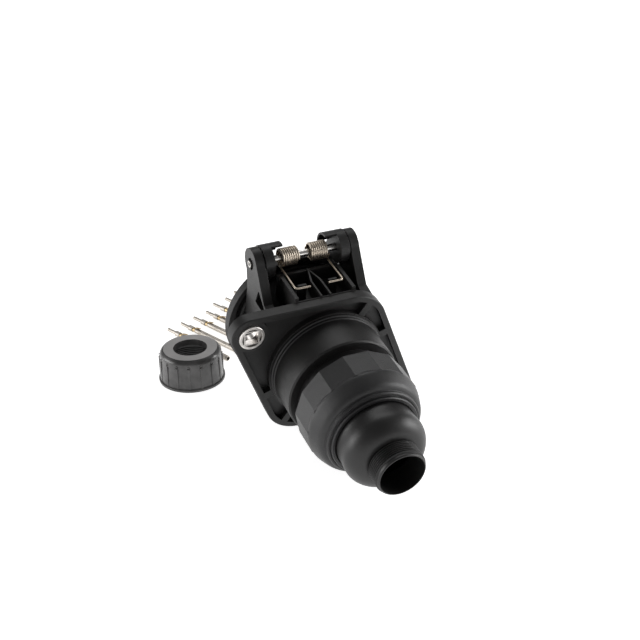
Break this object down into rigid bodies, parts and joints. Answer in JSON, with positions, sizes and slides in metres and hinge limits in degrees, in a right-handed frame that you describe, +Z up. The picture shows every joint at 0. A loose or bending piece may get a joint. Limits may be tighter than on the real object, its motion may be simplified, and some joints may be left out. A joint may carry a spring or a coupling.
{
  "type": "trailer wiring connector",
  "caption": "Flanged multi-pole trailer socket with a sprung hinged lid, a union nut and rear cable housing, and its loose cap nut and crimp contacts.",
  "frame": {"origin": "centre of the kit's box, on the floor it lies on", "axes": "+X along the hinge pin, +Y from the cable end towards the lid, +Z up; the socket's own axis dips towards its cable end"},
  "size_m": [0.156, 0.2964, 0.1049],
  "materials": {
    "body_plastic": "satin black moulded plastic",
    "lid_plastic": "satin black moulded plastic",
    "nut_plastic": "finely textured black plastic",
    "housing_plastic": "satin black plastic",
    "cap_plastic": "dark grey turned plastic",
    "insert_plastic": "matte black plastic",
    "seal_rubber": "black rubber",
    "stainless": "bright stainless",
    "pin_steel": "ground steel",
    "spring_steel": "drawn spring wire",
    "contact_metal": "nickel-silver plating",
    "clip_metal": "spring bronze"
  },
  "bodies": {
    "socket": {"socket_body": "body_plastic", "bolt_sleeve_upper": "stainless", "bolt_sleeve_lower": "stainless", "hinge_pin": "pin_steel", "spring_left": "spring_steel", "spring_right": "spring_steel", "contact_insert": "insert_plastic", "lock_plate": "insert_plastic", "wire_seal": "seal_rubber"},
    "lid": {"lid": "lid_plastic", "lid_seal": "seal_rubber"},
    "rear": {"rear_housing": "housing_plastic", "housing_seal": "seal_rubber"},
    "nut": {"union_nut": "nut_plastic"},
    "cap": {"cap_nut": "cap_plastic"},
    "contacts": {"contact_01": "contact_metal", "contact_02": "contact_metal", "contact_03": "contact_metal", "contact_04": "contact_metal", "contact_05": "contact_metal", "contact_06": "contact_metal", "contact_07": "contact_metal", "contact_08": "contact_metal", "contact_09": "contact_metal", "contact_10": "contact_metal", "contact_11": "contact_metal", "contact_12": "contact_metal", "contact_clip_01": "clip_metal", "contact_clip_02": "clip_metal", "contact_clip_03": "clip_metal", "contact_clip_04": "clip_metal", "contact_clip_05": "clip_metal", "contact_clip_06": "clip_metal", "contact_clip_07": "clip_metal", "contact_clip_08": "clip_metal", "contact_clip_09": "clip_metal", "contact_clip_10": "clip_metal", "contact_clip_11": "clip_metal", "contact_clip_12": "clip_metal"}
  },
  "joints": [
    {"name": "lid_hinge", "type": "hinge", "parent": "socket", "child": "lid", "pos_m": [-0.00774, -0.02484, 0.09556], "axis": [1, 0, 0], "range_deg": [0, 100], "stiffness_Nm_per_rad": 0.06, "springref_deg": -85.94, "deforming": ["spring_left", "spring_right"]},
    {"name": "housing_slide", "type": "slide", "parent": "socket", "child": "rear", "axis": [0, -0.9819, -0.1895], "range_m": [0, 0.012]},
    {"name": "union_nut_turn", "type": "hinge", "parent": "rear", "child": "nut", "pos_m": [-0.00774, -0.09326, 0.03317], "axis": [0, -0.9819, -0.1895], "range_deg": [0, 1440]},
    {"name": "cap_lift", "type": "slide", "parent": "socket", "child": "cap", "axis": [0, 0, 1], "range_m": [0, 0.06]},
    {"name": "contacts_lift", "type": "slide", "parent": "socket", "child": "contacts", "axis": [0, 0, 1], "range_m": [0, 0.04]}
  ],
  "couplings": [
    {"joint": "housing_slide", "follows": "union_nut_turn", "m_per_rad": 0.000477}
  ]
}
